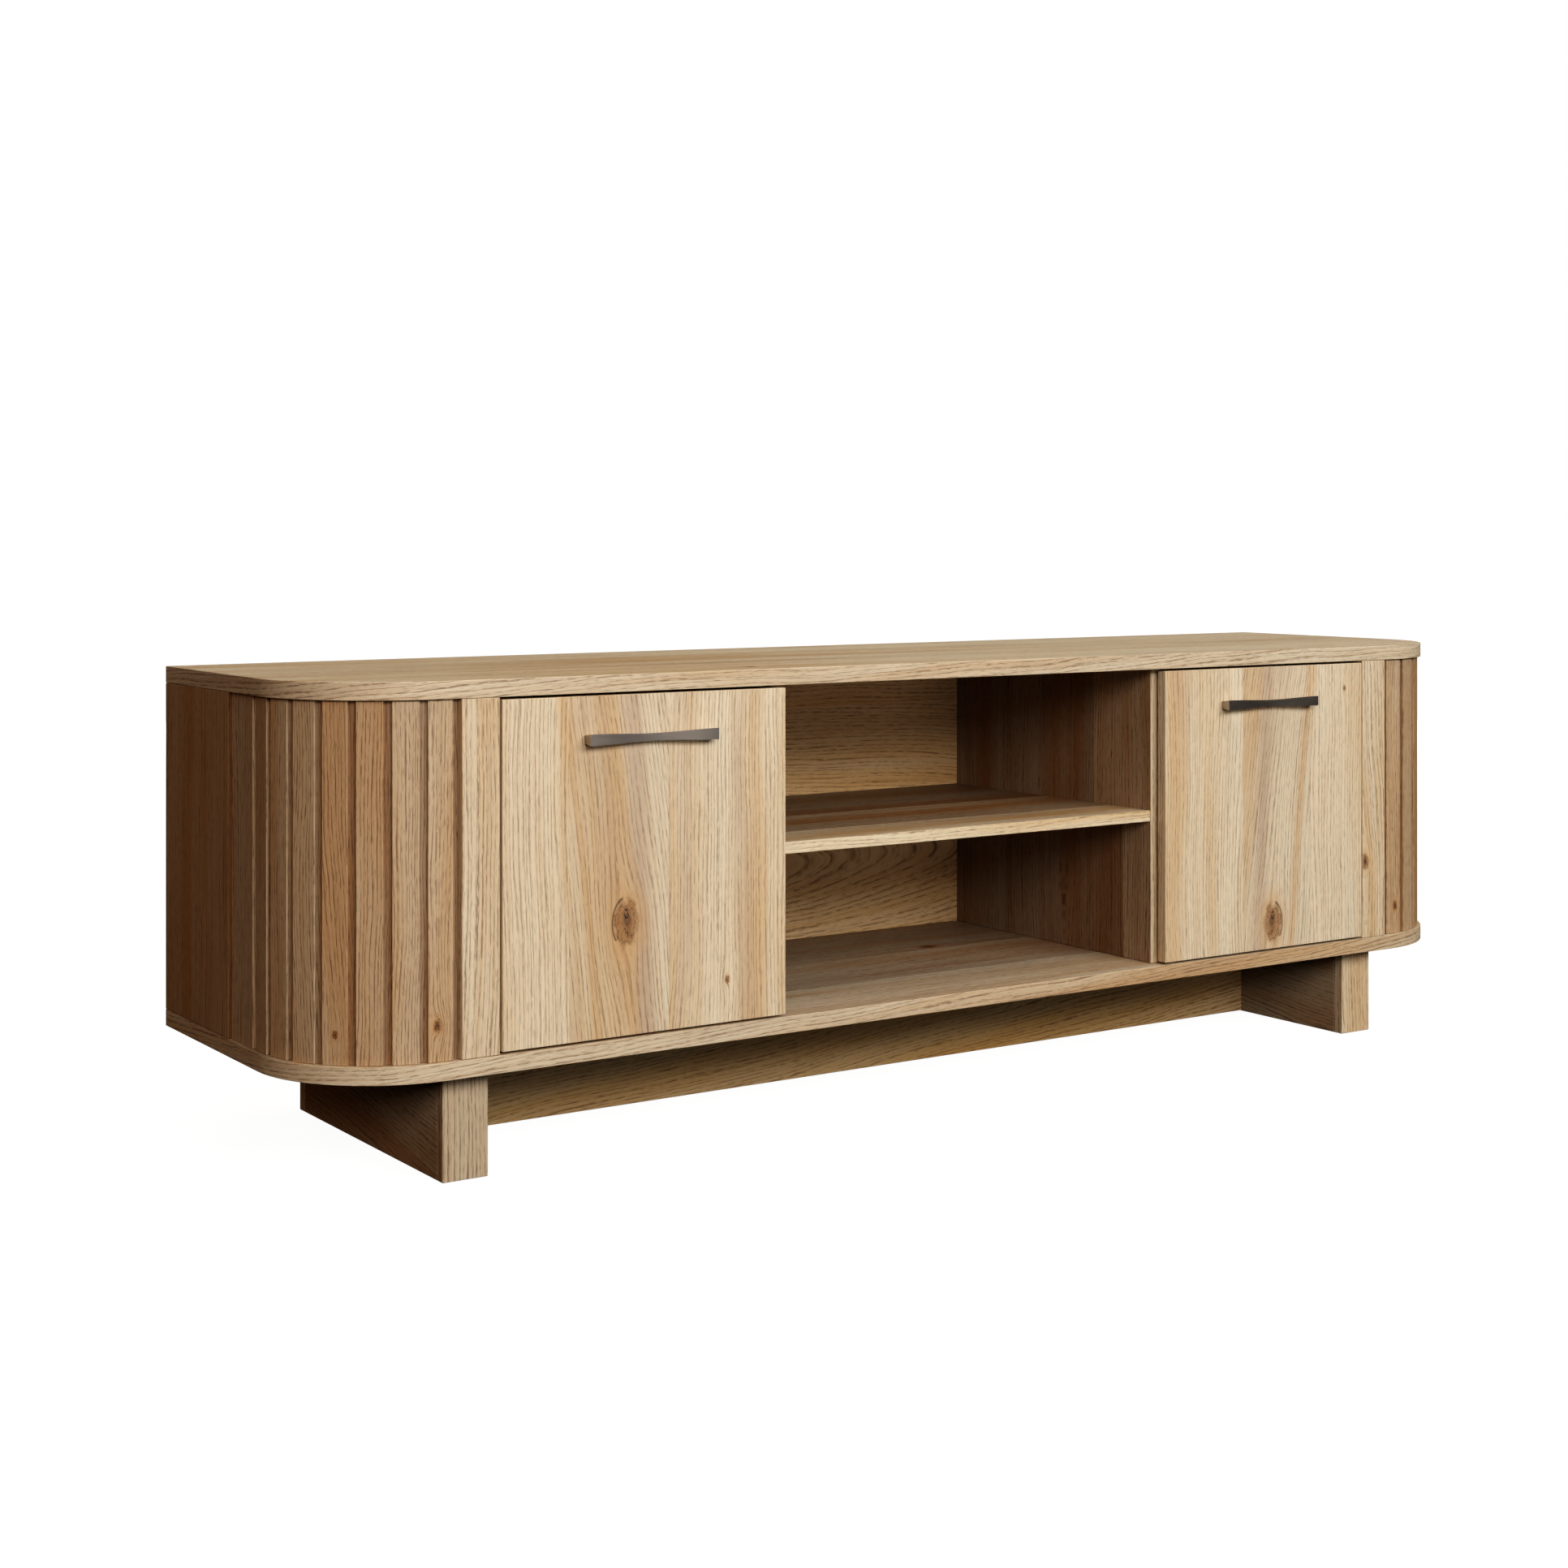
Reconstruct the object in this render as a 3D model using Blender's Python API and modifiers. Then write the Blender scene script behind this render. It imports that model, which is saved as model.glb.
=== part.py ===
"""Media cabinet: two hinged doors, an open centre bay, fluted round corners, panel legs.

Metres, +Z up, -Y is the front. The origin is on the floor, in the middle of the overall
width and of the overall depth, handles included.
"""
from math import cos, pi, radians, sin, tau

import bmesh
import bpy
from mathutils import Matrix, Vector

# ---- driving dimensions -------------------------------------------------------------
WIDTH = 1.960            # top and bottom panels, side to side
DEPTH = 0.496            # top and bottom panels, front to back
HEIGHT = 0.605           # floor to top
BASE_HEIGHT = 0.132      # clear height under the bottom panel
SLAB = 0.022             # top and bottom panels
BOARD = 0.016            # every other board
CORNER_RADIUS = 0.171    # front corners of the top and bottom panels, in plan
EDGE_ROUND = 0.001       # radius of the banded edges
FIT = 0.0003             # gap between two pieces that touch

HANDLE_REACH = 0.016     # handle, out from the door
DOOR_PROUD = 0.001       # door face, out from the top panel's edge
BACK = (DEPTH + DOOR_PROUD + HANDLE_REACH) / 2
FRONT = BACK - DEPTH

# Plan positions on one side, measured from the middle of the cabinet.
DIVIDER_X = 0.3231       # face of a divider towards the open bay
DOOR_INNER_X = 0.3309
DOOR_OUTER_X = 0.7392
STILE_INNER_X = 0.7420
STILE_OUTER_X = 0.7920
LEG_INNER_X = 0.7383
LEG_OUTER_X = 0.7988

DIVIDER_SETBACK = 0.0219     # divider and centre shelf, behind the top panel's edge
DOOR_GAP = 0.0032            # above and below a door
LEG_FRONT_SETBACK = 0.0391
LEG_BACK_SETBACK = 0.0140
RAIL_SETBACK = 0.2571        # rail between the legs
RAIL_FLOOR_GAP = 0.001

# Fluted corner: slats cut into one bent board.
FLUTE_INSET = 0.0049         # slat faces, in from the top panel's edge
FLUTE_ARC_RADIUS = CORNER_RADIUS - FLUTE_INSET
SIDE_PANEL_SETBACK = 0.2682  # front end of the flat side panel, behind the top's edge
GROOVE_COUNT = 8
GROOVE_PITCH = 0.0424        # along the outside of the bend
GROOVE_START = -0.0228       # first groove, ahead of the point where the bend starts
GROOVE_WIDTH = 0.0104
GROOVE_DEPTH = 0.0056
GROOVE_ROUND = 0.0006        # rounded edges of the slats
BEND_STEPS = 18

# Doors and their concealed hinges. "In" is from the door's outer edge towards the
# middle of the cabinet, "deep" is behind the door's face.
DOOR_BOTTOM = BASE_HEIGHT + SLAB + DOOR_GAP
DOOR_TOP = HEIGHT - SLAB - DOOR_GAP
DOOR_FACE_Y = FRONT - DOOR_PROUD
PIVOT_IN, PIVOT_DEEP = 0.004, 0.004
HINGE_FROM_DOOR_END = 0.090
CUP_IN = 0.0220
CUP_RADIUS, CUP_WALL, CUP_DEPTH = 0.0172, 0.0008, 0.0115
WING_HALF_WIDTH, WING_HALF_HEIGHT, WING_THICK = 0.012, 0.031, 0.0012
NOSE_IN, NOSE_DEEP = 0.0403, 0.0236
LINK_TIP_IN, LINK_TIP_DEEP = 0.0085, 0.0082
ARM_HALF_HEIGHT, LINK_HALF_HEIGHT = 0.0068, 0.0045
LINK_HALF_THICKNESS, LINK_TIP_RADIUS, KNUCKLE_RADIUS = 0.0010, 0.0015, 0.0026
PIN_RADIUS = 0.0012
FORK_RADIUS = 0.0085             # clear space round the knuckle in the arm's nose
ARM_RISE = 0.0100                # arm's thickness over its plate
# The arm's crank in plan, as (in, deep) points from its shoulder round the nose.
ARM_SHOULDER_DEEP, ARM_END_DEEP, ARM_FOOT_DEEP = 0.0540, 0.0900, 0.0440
ARM_NOSE = ((0.0445, 0.0292), (0.0445, 0.0208), (0.0362, 0.0208), (0.0332, 0.0275))
PLATE_HALF_HEIGHT, PLATE_THICK = 0.022, 0.003
PLATE_DEEP = (0.052, 0.086)      # front and back of the mounting plate

# Handles: a waisted bow on two end blocks.
HANDLE_LENGTH = 0.185
HANDLE_Z = 0.5268
HANDLE_END_HEIGHT, HANDLE_WAIST_HEIGHT = 0.0144, 0.0094
HANDLE_BOW = 0.0030          # hollow of the front face, at the waist
HANDLE_STRAP = 0.0045
HANDLE_BLOCK = 0.0120
HANDLE_FOOT_SCALE = 0.70     # block height at the door against its height at the front
GAP_CORNER = 0.0040          # rounding where the finger gap meets a block
GAP_CORNER_SHARE = 0.14      # part of the gap's half length that it takes
SCREW_SPACING = 0.174
SCREW_RADIUS, SCREW_HEAD_RADIUS, SCREW_HEAD = 0.0018, 0.0042, 0.0022
SCREW_BITE = 0.0080          # thread inside the handle block

# Loose shelf in each cupboard, on four pins.
SHELF_PIN_RADIUS, SHELF_PIN_LENGTH, SHELF_PIN_SUNK = 0.0025, 0.0160, 0.0080
SHELF_PIN_FROM_END = 0.050
CUPBOARD_SHELF_SETBACK = 0.090   # shelf's front edge, behind the top panel's edge
CUPBOARD_SHELF_PLAY = 0.0010     # at each end

ROUND = 24                   # sides of a cylinder
SMALL_ROUND = 12             # sides of a pin or screw

BEVEL_ANGLE = radians(32)    # edges sharper than this are rounded
CREASE_ANGLE = radians(25)   # edges sharper than this stay crisp in the shading
CYLINDER_CREASE = radians(40)
STRAIGHT_ANGLE = radians(0.5)
WELD_DISTANCE = 0.00001

# ---- scene and materials --------------------------------------------------------------
for old in list(bpy.data.objects):
    bpy.data.objects.remove(old, do_unlink=True)

parts = bpy.data.collections.new("media_cabinet")
cutters = bpy.data.collections.new("cutters")
for collection in (parts, cutters):
    bpy.context.scene.collection.children.link(collection)


def make_material(name, colour, roughness, metallic=0.0):
    """Principled material with the piece's own colour."""
    mat = bpy.data.materials.new(name)
    mat.use_nodes = True
    shader = mat.node_tree.nodes["Principled BSDF"]
    shader.inputs["Base Color"].default_value = (*colour, 1.0)
    shader.inputs["Roughness"].default_value = roughness
    shader.inputs["Metallic"].default_value = metallic
    mat.diffuse_color = (*colour, 1.0)
    return mat


OAK_LIGHT = (0.56, 0.40, 0.24)
OAK_MID = (0.47, 0.32, 0.18)
OAK_DARK = (0.36, 0.23, 0.12)
NICKEL = (0.22, 0.20, 0.185)
STEEL = (0.62, 0.62, 0.63)
OAK_ROUGHNESS, METAL_ROUGHNESS = 0.55, 0.35


def oak(name, colour=OAK_LIGHT):
    return make_material(name, colour, OAK_ROUGHNESS)


def metal(name, colour=STEEL):
    return make_material(name, colour, METAL_ROUGHNESS, 1.0)


# ---- modelling helpers ------------------------------------------------------------------
def link_part(name, mesh, mat, location, parent=None, target=parts):
    """Make an object; location is in the world, also when it has a parent."""
    obj = bpy.data.objects.new(name, mesh)
    target.objects.link(obj)
    obj.location = Vector(location)
    if parent is not None:
        obj.parent = parent
        obj.location = Vector(location) - parent.location
    if mat is not None:
        mesh.materials.append(mat)
    return obj


def add_bevel(obj, width, segments=2):
    bevel = obj.modifiers.new("edges", "BEVEL")
    bevel.width = width
    bevel.segments = segments
    bevel.limit_method = "ANGLE"
    bevel.angle_limit = BEVEL_ANGLE


def add_boolean(obj, other, operation="DIFFERENCE"):
    step = obj.modifiers.new(operation.lower(), "BOOLEAN")
    step.operation = operation
    step.object = other
    step.solver = "EXACT"


def as_cutter(obj):
    obj.hide_render = True
    obj.display_type = "WIRE"
    return obj


def box_mesh(name, size):
    bm = bmesh.new()
    bmesh.ops.create_cube(bm, size=1.0, matrix=Matrix.Diagonal((*size, 1.0)))
    mesh = bpy.data.meshes.new(name)
    bm.to_mesh(mesh)
    bm.free()
    return mesh


def board(name, low, high, mat, rounding=EDGE_ROUND, parent=None, target=parts):
    """Rectangular board between two corners, with rounded edges."""
    low, high = Vector(low), Vector(high)
    size = Vector([abs(a - b) for a, b in zip(high, low)])
    obj = link_part(name, box_mesh(name, size), mat, (low + high) / 2, parent, target)
    if rounding:
        add_bevel(obj, rounding)
    return obj


TURN_TO = {"X": Matrix.Rotation(pi / 2, 4, "Y"), "Y": Matrix.Rotation(pi / 2, 4, "X"),
           "Z": Matrix.Identity(4)}


def cylinder(name, centre, radius, length, axis, mat=None, parent=None, target=parts,
             sides=SMALL_ROUND):
    """Cylinder along axis "X", "Y" or "Z", centred on a point."""
    bm = bmesh.new()
    bmesh.ops.create_cone(bm, cap_ends=True, segments=sides, radius1=radius,
                          radius2=radius, depth=length, matrix=TURN_TO[axis])
    mesh = bpy.data.meshes.new(name)
    bm.to_mesh(mesh)
    bm.free()
    mesh.shade_smooth()
    mesh.set_sharp_from_angle(angle=CYLINDER_CREASE)
    return link_part(name, mesh, mat, centre, parent, target)


def prism(name, outline, low_z, high_z, mat, rounding=0.0, parent=None, target=parts):
    """Upright prism on a plan outline: a filled 2D curve, made a mesh and welded."""
    centre = Vector((sum(p[0] for p in outline), sum(p[1] for p in outline))) / len(outline)
    curve = bpy.data.curves.new(name, "CURVE")
    curve.dimensions = "2D"
    curve.fill_mode = "BOTH"
    curve.extrude = (high_z - low_z) / 2
    spline = curve.splines.new("POLY")
    spline.points.add(len(outline) - 1)
    spline.use_cyclic_u = True
    for point, (x, y) in zip(spline.points, outline):
        point.co = (x - centre.x, y - centre.y, 0, 1)
    flat = bpy.data.objects.new(name + "_outline", curve)
    parts.objects.link(flat)
    bpy.context.view_layer.update()
    evaluated = flat.evaluated_get(bpy.context.evaluated_depsgraph_get())
    mesh = bpy.data.meshes.new_from_object(evaluated)
    bpy.data.objects.remove(flat, do_unlink=True)
    mesh.name = name
    mesh.materials.clear()
    bm = bmesh.new()
    bm.from_mesh(mesh)
    bmesh.ops.remove_doubles(bm, verts=bm.verts, dist=WELD_DISTANCE)
    bmesh.ops.dissolve_limit(bm, angle_limit=STRAIGHT_ANGLE, verts=bm.verts,
                             edges=bm.edges)
    bmesh.ops.recalc_face_normals(bm, faces=bm.faces)
    bm.to_mesh(mesh)
    bm.free()
    mesh.shade_smooth()
    mesh.set_sharp_from_angle(angle=CREASE_ANGLE)
    location = (centre.x, centre.y, (low_z + high_z) / 2)
    obj = link_part(name, mesh, mat, location, parent, target)
    if rounding:
        add_bevel(obj, rounding)
    return obj


def side_range(side, inner, outer):
    """X span of a piece given on the right-hand side, mirrored when side is -1."""
    return sorted((side * inner, side * outer))


def arc(centre, radius, start, end, steps):
    for i in range(steps + 1):
        angle = start + (end - start) * i / steps
        yield centre[0] + radius * cos(angle), centre[1] + radius * sin(angle)


# ---- carcass --------------------------------------------------------------------------
CAVITY_LOW = BASE_HEIGHT + SLAB + FIT
CAVITY_HIGH = HEIGHT - SLAB - FIT
BACK_PANEL_Y = BACK - BOARD
SHELF_MIDDLE_Z = (CAVITY_LOW + CAVITY_HIGH) / 2
SIDES = (("left", -1), ("right", 1))


def slab_outline():
    """Plan of the top and bottom panels: square at the back, round at the front."""
    half = WIDTH / 2
    middle = half - CORNER_RADIUS
    centre_y = FRONT + CORNER_RADIUS
    points = [(half, BACK), (-half, BACK)]
    points += arc((-middle, centre_y), CORNER_RADIUS, pi, 1.5 * pi, BEND_STEPS)
    points += arc((middle, centre_y), CORNER_RADIUS, 1.5 * pi, tau, BEND_STEPS)
    return points


def make_slabs():
    outline = slab_outline()
    prism("top_panel", outline, HEIGHT - SLAB, HEIGHT, oak("top_panel_oak"), EDGE_ROUND)
    prism("bottom_panel", outline, BASE_HEIGHT, BASE_HEIGHT + SLAB,
          oak("bottom_panel_oak"), EDGE_ROUND)


def make_uprights(side_name, side):
    """Side panel, front stile, hinge partition and divider of one side."""
    half = WIDTH / 2
    x0, x1 = side_range(side, half - BOARD, half)
    board(f"{side_name}_side_panel", (x0, FRONT + SIDE_PANEL_SETBACK, CAVITY_LOW),
          (x1, BACK, CAVITY_HIGH), oak(f"{side_name}_side_panel_oak", OAK_MID))
    x0, x1 = side_range(side, STILE_INNER_X, STILE_OUTER_X)
    board(f"{side_name}_front_stile", (x0, FRONT, CAVITY_LOW),
          (x1, FRONT + BOARD, CAVITY_HIGH), oak(f"{side_name}_front_stile_oak"))
    x0, x1 = side_range(side, STILE_INNER_X, STILE_INNER_X + BOARD)
    partition = board(f"{side_name}_hinge_partition", (x0, FRONT + BOARD + FIT, CAVITY_LOW),
                      (x1, BACK_PANEL_Y - FIT, CAVITY_HIGH),
                      oak(f"{side_name}_partition_oak", OAK_MID))
    x0, x1 = side_range(side, DIVIDER_X, DIVIDER_X + BOARD)
    divider = board(f"{side_name}_divider", (x0, FRONT + DIVIDER_SETBACK, CAVITY_LOW),
                    (x1, BACK_PANEL_Y - FIT, CAVITY_HIGH),
                    oak(f"{side_name}_divider_oak", OAK_DARK))
    make_cupboard_shelf(side_name, side, divider, partition)


def make_cupboard_shelf(side_name, side, divider, partition):
    """Loose shelf half-way up a cupboard, its pins sunk in the divider and partition."""
    walls = (("inner", DIVIDER_X + BOARD, divider, 1), ("outer", STILE_INNER_X, partition, -1))
    front, back = FRONT + CUPBOARD_SHELF_SETBACK, BACK_PANEL_Y - CUPBOARD_SHELF_PLAY
    pin_z = SHELF_MIDDLE_Z - BOARD / 2 - FIT - SHELF_PIN_RADIUS
    x0, x1 = side_range(side, walls[0][1] + CUPBOARD_SHELF_PLAY,
                        walls[1][1] - CUPBOARD_SHELF_PLAY)
    board(f"{side_name}_cupboard_shelf", (x0, front, SHELF_MIDDLE_Z - BOARD / 2),
          (x1, back, SHELF_MIDDLE_Z + BOARD / 2), oak(f"{side_name}_shelf_oak", OAK_MID))
    for wall_name, wall_x, wall, towards_shelf in walls:
        middle = wall_x + towards_shelf * (SHELF_PIN_LENGTH / 2 - SHELF_PIN_SUNK)
        ends = (("front", front + SHELF_PIN_FROM_END), ("back", back - SHELF_PIN_FROM_END))
        for end_name, y in ends:
            name = f"{side_name}_shelf_pin_{wall_name}_{end_name}"
            cylinder(name, (side * middle, y, pin_z), SHELF_PIN_RADIUS, SHELF_PIN_LENGTH,
                     "X", metal(f"{name}_steel"))
            hole = cylinder(name + "_hole", (side * wall_x, y, pin_z),
                            SHELF_PIN_RADIUS + FIT, 2 * (SHELF_PIN_SUNK + FIT), "X",
                            target=cutters)
            add_boolean(wall, as_cutter(hole))


def bend_point(run, inset):
    """Plan point on the bent board, for the right-hand side.

    run is measured along the outer face from the start of the bend, negative on the
    straight beside the side panel; inset is the depth below that face.
    """
    centre_x = WIDTH / 2 - CORNER_RADIUS
    centre_y = FRONT + CORNER_RADIUS
    radius = FLUTE_ARC_RADIUS - inset
    bend_length = FLUTE_ARC_RADIUS * pi / 2
    if run < 0:
        return centre_x + radius, centre_y - run
    if run > bend_length:
        return centre_x - (run - bend_length), centre_y - radius
    angle = run / FLUTE_ARC_RADIUS
    return centre_x + radius * cos(angle), centre_y - radius * sin(angle)


def make_fluted_corner(side_name, side):
    """Bent board with grooves across its outer face, between side panel and stile."""
    centre_x = WIDTH / 2 - CORNER_RADIUS
    centre_y = FRONT + CORNER_RADIUS
    start = centre_y - (FRONT + SIDE_PANEL_SETBACK - FIT)
    end = FLUTE_ARC_RADIUS * pi / 2 + centre_x - (STILE_OUTER_X + FIT)
    outline = [bend_point(start, 0)]
    for k in range(GROOVE_COUNT):
        middle = GROOVE_START + k * GROOVE_PITCH
        low, high = middle - GROOVE_WIDTH / 2, min(middle + GROOVE_WIDTH / 2, end)
        outline += [bend_point(low, 0), bend_point(low, GROOVE_DEPTH)]
        outline.append(bend_point(high, GROOVE_DEPTH))
        if high < end:
            outline.append(bend_point(high, 0))
    inner = [end] + [FLUTE_ARC_RADIUS * pi / 2 * (1 - i / BEND_STEPS)
                     for i in range(BEND_STEPS + 1)] + [start]
    outline += [bend_point(run, BOARD) for run in inner]
    outline = [(side * x, y) for x, y in outline]
    prism(f"{side_name}_fluted_corner", outline, CAVITY_LOW, CAVITY_HIGH,
          oak(f"{side_name}_fluted_corner_oak"), GROOVE_ROUND)


def make_back_and_shelf():
    half = WIDTH / 2 - BOARD - FIT
    board("back_panel", (-half, BACK_PANEL_Y, CAVITY_LOW), (half, BACK, CAVITY_HIGH),
          oak("back_panel_oak", OAK_DARK))
    half = DIVIDER_X - FIT
    board("centre_shelf", (-half, FRONT + DIVIDER_SETBACK, SHELF_MIDDLE_Z - BOARD / 2),
          (half, BACK_PANEL_Y - FIT, SHELF_MIDDLE_Z + BOARD / 2),
          oak("centre_shelf_oak", OAK_MID))


# ---- base ------------------------------------------------------------------------------
def make_leg(side_name, side):
    """Hollow panel leg: a front and a back cap on two side boards."""
    front, back = FRONT + LEG_FRONT_SETBACK, BACK - LEG_BACK_SETBACK
    top = BASE_HEIGHT - FIT
    x0, x1 = side_range(side, LEG_INNER_X, LEG_OUTER_X)
    board(f"{side_name}_leg_front_cap", (x0, front, 0), (x1, front + BOARD, top),
          oak(f"{side_name}_leg_front_cap_oak"))
    board(f"{side_name}_leg_back_cap", (x0, back - BOARD, 0), (x1, back, top),
          oak(f"{side_name}_leg_back_cap_oak", OAK_MID))
    faces = (("inner", LEG_INNER_X, LEG_INNER_X + BOARD),
             ("outer", LEG_OUTER_X - BOARD, LEG_OUTER_X))
    for face, near, far in faces:
        x0, x1 = side_range(side, near, far)
        board(f"{side_name}_leg_{face}_board", (x0, front + BOARD + FIT, 0),
              (x1, back - BOARD - FIT, top), oak(f"{side_name}_leg_{face}_oak", OAK_DARK))


def make_rail():
    half = LEG_INNER_X - FIT
    y = FRONT + RAIL_SETBACK
    board("base_rail", (-half, y, RAIL_FLOOR_GAP), (half, y + BOARD, BASE_HEIGHT - FIT),
          oak("base_rail_oak", OAK_MID))


# ---- doors, handles and hinges -------------------------------------------------------------
DOOR_MIDDLE_X = (DOOR_INNER_X + DOOR_OUTER_X) / 2
DOOR_BACK_Y = DOOR_FACE_Y + BOARD


def hinge_point(side, inwards, deep):
    """Plan point from its distances in from and behind the door's outer front edge."""
    return side * (DOOR_OUTER_X - inwards), DOOR_FACE_Y + deep


def make_pivot(name, side, inwards, deep):
    """Empty on an upright joint axis, the parent of what turns on it."""
    pivot = bpy.data.objects.new(name, None)
    parts.objects.link(pivot)
    pivot.location = (*hinge_point(side, inwards, deep), DOOR_BOTTOM)
    return pivot


def make_door(side_name, side, pivot):
    """Inset door, bored for two hinge cups and two handle screws."""
    x0, x1 = side_range(side, DOOR_INNER_X, DOOR_OUTER_X)
    door = board(f"{side_name}_door", (x0, DOOR_FACE_Y, DOOR_BOTTOM),
                 (x1, DOOR_BACK_Y, DOOR_TOP), oak(f"{side_name}_door_oak"), parent=pivot)
    cup_x = hinge_point(side, CUP_IN, 0)[0]
    for z in hinge_heights():
        bore = cylinder(f"{side_name}_cup_bore_{z:.2f}", (cup_x, DOOR_BACK_Y, z),
                        CUP_RADIUS + FIT, 2 * (CUP_DEPTH + FIT), "Y",
                        parent=pivot, target=cutters, sides=ROUND)
        add_boolean(door, as_cutter(bore))
    for x in screw_positions(side):
        hole = cylinder(f"{side_name}_screw_hole_{x:.2f}",
                        (x, (DOOR_FACE_Y + DOOR_BACK_Y) / 2, HANDLE_Z),
                        SCREW_RADIUS + FIT, 2 * BOARD, "Y", parent=pivot, target=cutters)
        add_boolean(door, as_cutter(hole))


def hinge_heights():
    return DOOR_BOTTOM + HINGE_FROM_DOOR_END, DOOR_TOP - HINGE_FROM_DOOR_END


def screw_positions(side):
    middle = side * DOOR_MIDDLE_X
    return middle - SCREW_SPACING / 2, middle + SCREW_SPACING / 2


def shaped_bar(name, length, low_y, high_y, height, shape, steps=28):
    """Bar along X from a subdivided cube, each point moved by shape(t, y share, z)."""
    bm = bmesh.new()
    bmesh.ops.create_cube(bm, size=1.0)
    along = [e for e in bm.edges if abs(e.verts[0].co.x - e.verts[1].co.x) > 0.5]
    bmesh.ops.subdivide_edges(bm, edges=along, cuts=steps - 1, use_grid_fill=True)
    for vert in bm.verts:
        t, share = 2 * vert.co.x, vert.co.y + 0.5
        y, z_scale = shape(t, share)
        vert.co = (t * length / 2, low_y + (high_y - low_y) * share + y,
                   vert.co.z * height * z_scale)
    bmesh.ops.recalc_face_normals(bm, faces=bm.faces)
    mesh = bpy.data.meshes.new(name)
    bm.to_mesh(mesh)
    bm.free()
    return mesh


def handle_shape(t, share):
    """Waisted, hollow-fronted bar whose blocks taper towards the door."""
    waist = HANDLE_WAIST_HEIGHT / HANDLE_END_HEIGHT
    swell = (1 - cos(pi * abs(t))) / 2
    height = waist + (1 - waist) * swell
    taper = 1 + (HANDLE_FOOT_SCALE - 1) * share
    return HANDLE_BOW * (1 - swell) * (1 - share), height * taper


def gap_shape(t, share):
    """Finger gap: its front follows the bow and rounds off towards the blocks."""
    bow = HANDLE_BOW * (1 - cos(pi * abs(t))) / 2
    corner = GAP_CORNER * max(0.0, 1 - (1 - abs(t)) / GAP_CORNER_SHARE) ** 2
    return (corner - bow) * (1 - share), 1.0


def make_handle(side_name, side, pivot):
    centre = (side * DOOR_MIDDLE_X, DOOR_FACE_Y, HANDLE_Z)
    name = f"{side_name}_handle"
    bar = shaped_bar(name, HANDLE_LENGTH, -HANDLE_REACH, -FIT, HANDLE_END_HEIGHT,
                     handle_shape)
    handle = link_part(name, bar, metal(f"{name}_nickel", NICKEL), centre, pivot)
    gap_front = HANDLE_STRAP + HANDLE_BOW - HANDLE_REACH
    gap_mesh = shaped_bar(name + "_gap", HANDLE_LENGTH - 2 * HANDLE_BLOCK, gap_front,
                          HANDLE_REACH, 2 * HANDLE_END_HEIGHT, gap_shape)
    gap = link_part(name + "_gap", gap_mesh, None, centre, pivot, cutters)
    add_boolean(handle, as_cutter(gap))
    for x in screw_positions(side):
        hole = cylinder(f"{name}_bore_{x:.2f}", (x, DOOR_FACE_Y, HANDLE_Z),
                        SCREW_RADIUS + FIT, 2 * (SCREW_BITE + FIT), "Y",
                        parent=pivot, target=cutters)
        add_boolean(handle, as_cutter(hole))
    make_handle_screws(side_name, side, pivot)


def make_handle_screws(side_name, side, pivot):
    """Machine screws put in from behind the door, heads on its back."""
    shank = SCREW_BITE + BOARD + SCREW_HEAD / 2
    for index, x in enumerate(screw_positions(side), 1):
        name = f"{side_name}_handle_screw_{index}"
        head_y = DOOR_BACK_Y + FIT + SCREW_HEAD / 2
        screw = cylinder(name, (x, head_y, HANDLE_Z), SCREW_HEAD_RADIUS, SCREW_HEAD, "Y",
                         metal(f"{name}_steel"), pivot)
        rod = cylinder(name + "_rod", (x, head_y - shank / 2, HANDLE_Z), SCREW_RADIUS,
                       shank, "Y", parent=pivot, target=cutters)
        add_boolean(screw, as_cutter(rod), "UNION")


def make_cup(name, side, z, pivot):
    """Hinge cup sunk in the door's back, with two screw wings on the surface."""
    x = hinge_point(side, CUP_IN, 0)[0]
    cup = cylinder(name, (x, DOOR_BACK_Y + FIT + (WING_THICK - CUP_DEPTH) / 2, z),
                   CUP_RADIUS, CUP_DEPTH + WING_THICK, "Y", metal(f"{name}_steel"), pivot,
                   sides=ROUND)
    y = DOOR_BACK_Y + FIT
    wing = board(name + "_wing", (x - WING_HALF_WIDTH, y, z - WING_HALF_HEIGHT),
                 (x + WING_HALF_WIDTH, y + WING_THICK, z + WING_HALF_HEIGHT), None,
                 0.0, pivot, cutters)
    add_boolean(cup, as_cutter(wing), "UNION")
    hollow_depth = CUP_DEPTH - CUP_WALL
    hollow = cylinder(name + "_hollow", (x, y, z), CUP_RADIUS - CUP_WALL,
                      2 * hollow_depth, "Y", parent=pivot, target=cutters, sides=ROUND)
    add_boolean(cup, as_cutter(hollow))


def make_plate(name, side, z):
    """Mounting plate, screwed to the partition; the arm clips onto it."""
    near = STILE_INNER_X - FIT
    front, back = (DOOR_FACE_Y + deep for deep in PLATE_DEEP)
    x0, x1 = side_range(side, near, near - PLATE_THICK)
    board(name, (x0, front, z - PLATE_HALF_HEIGHT), (x1, back, z + PLATE_HALF_HEIGHT),
          metal(f"{name}_steel"), 0.0)


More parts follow.
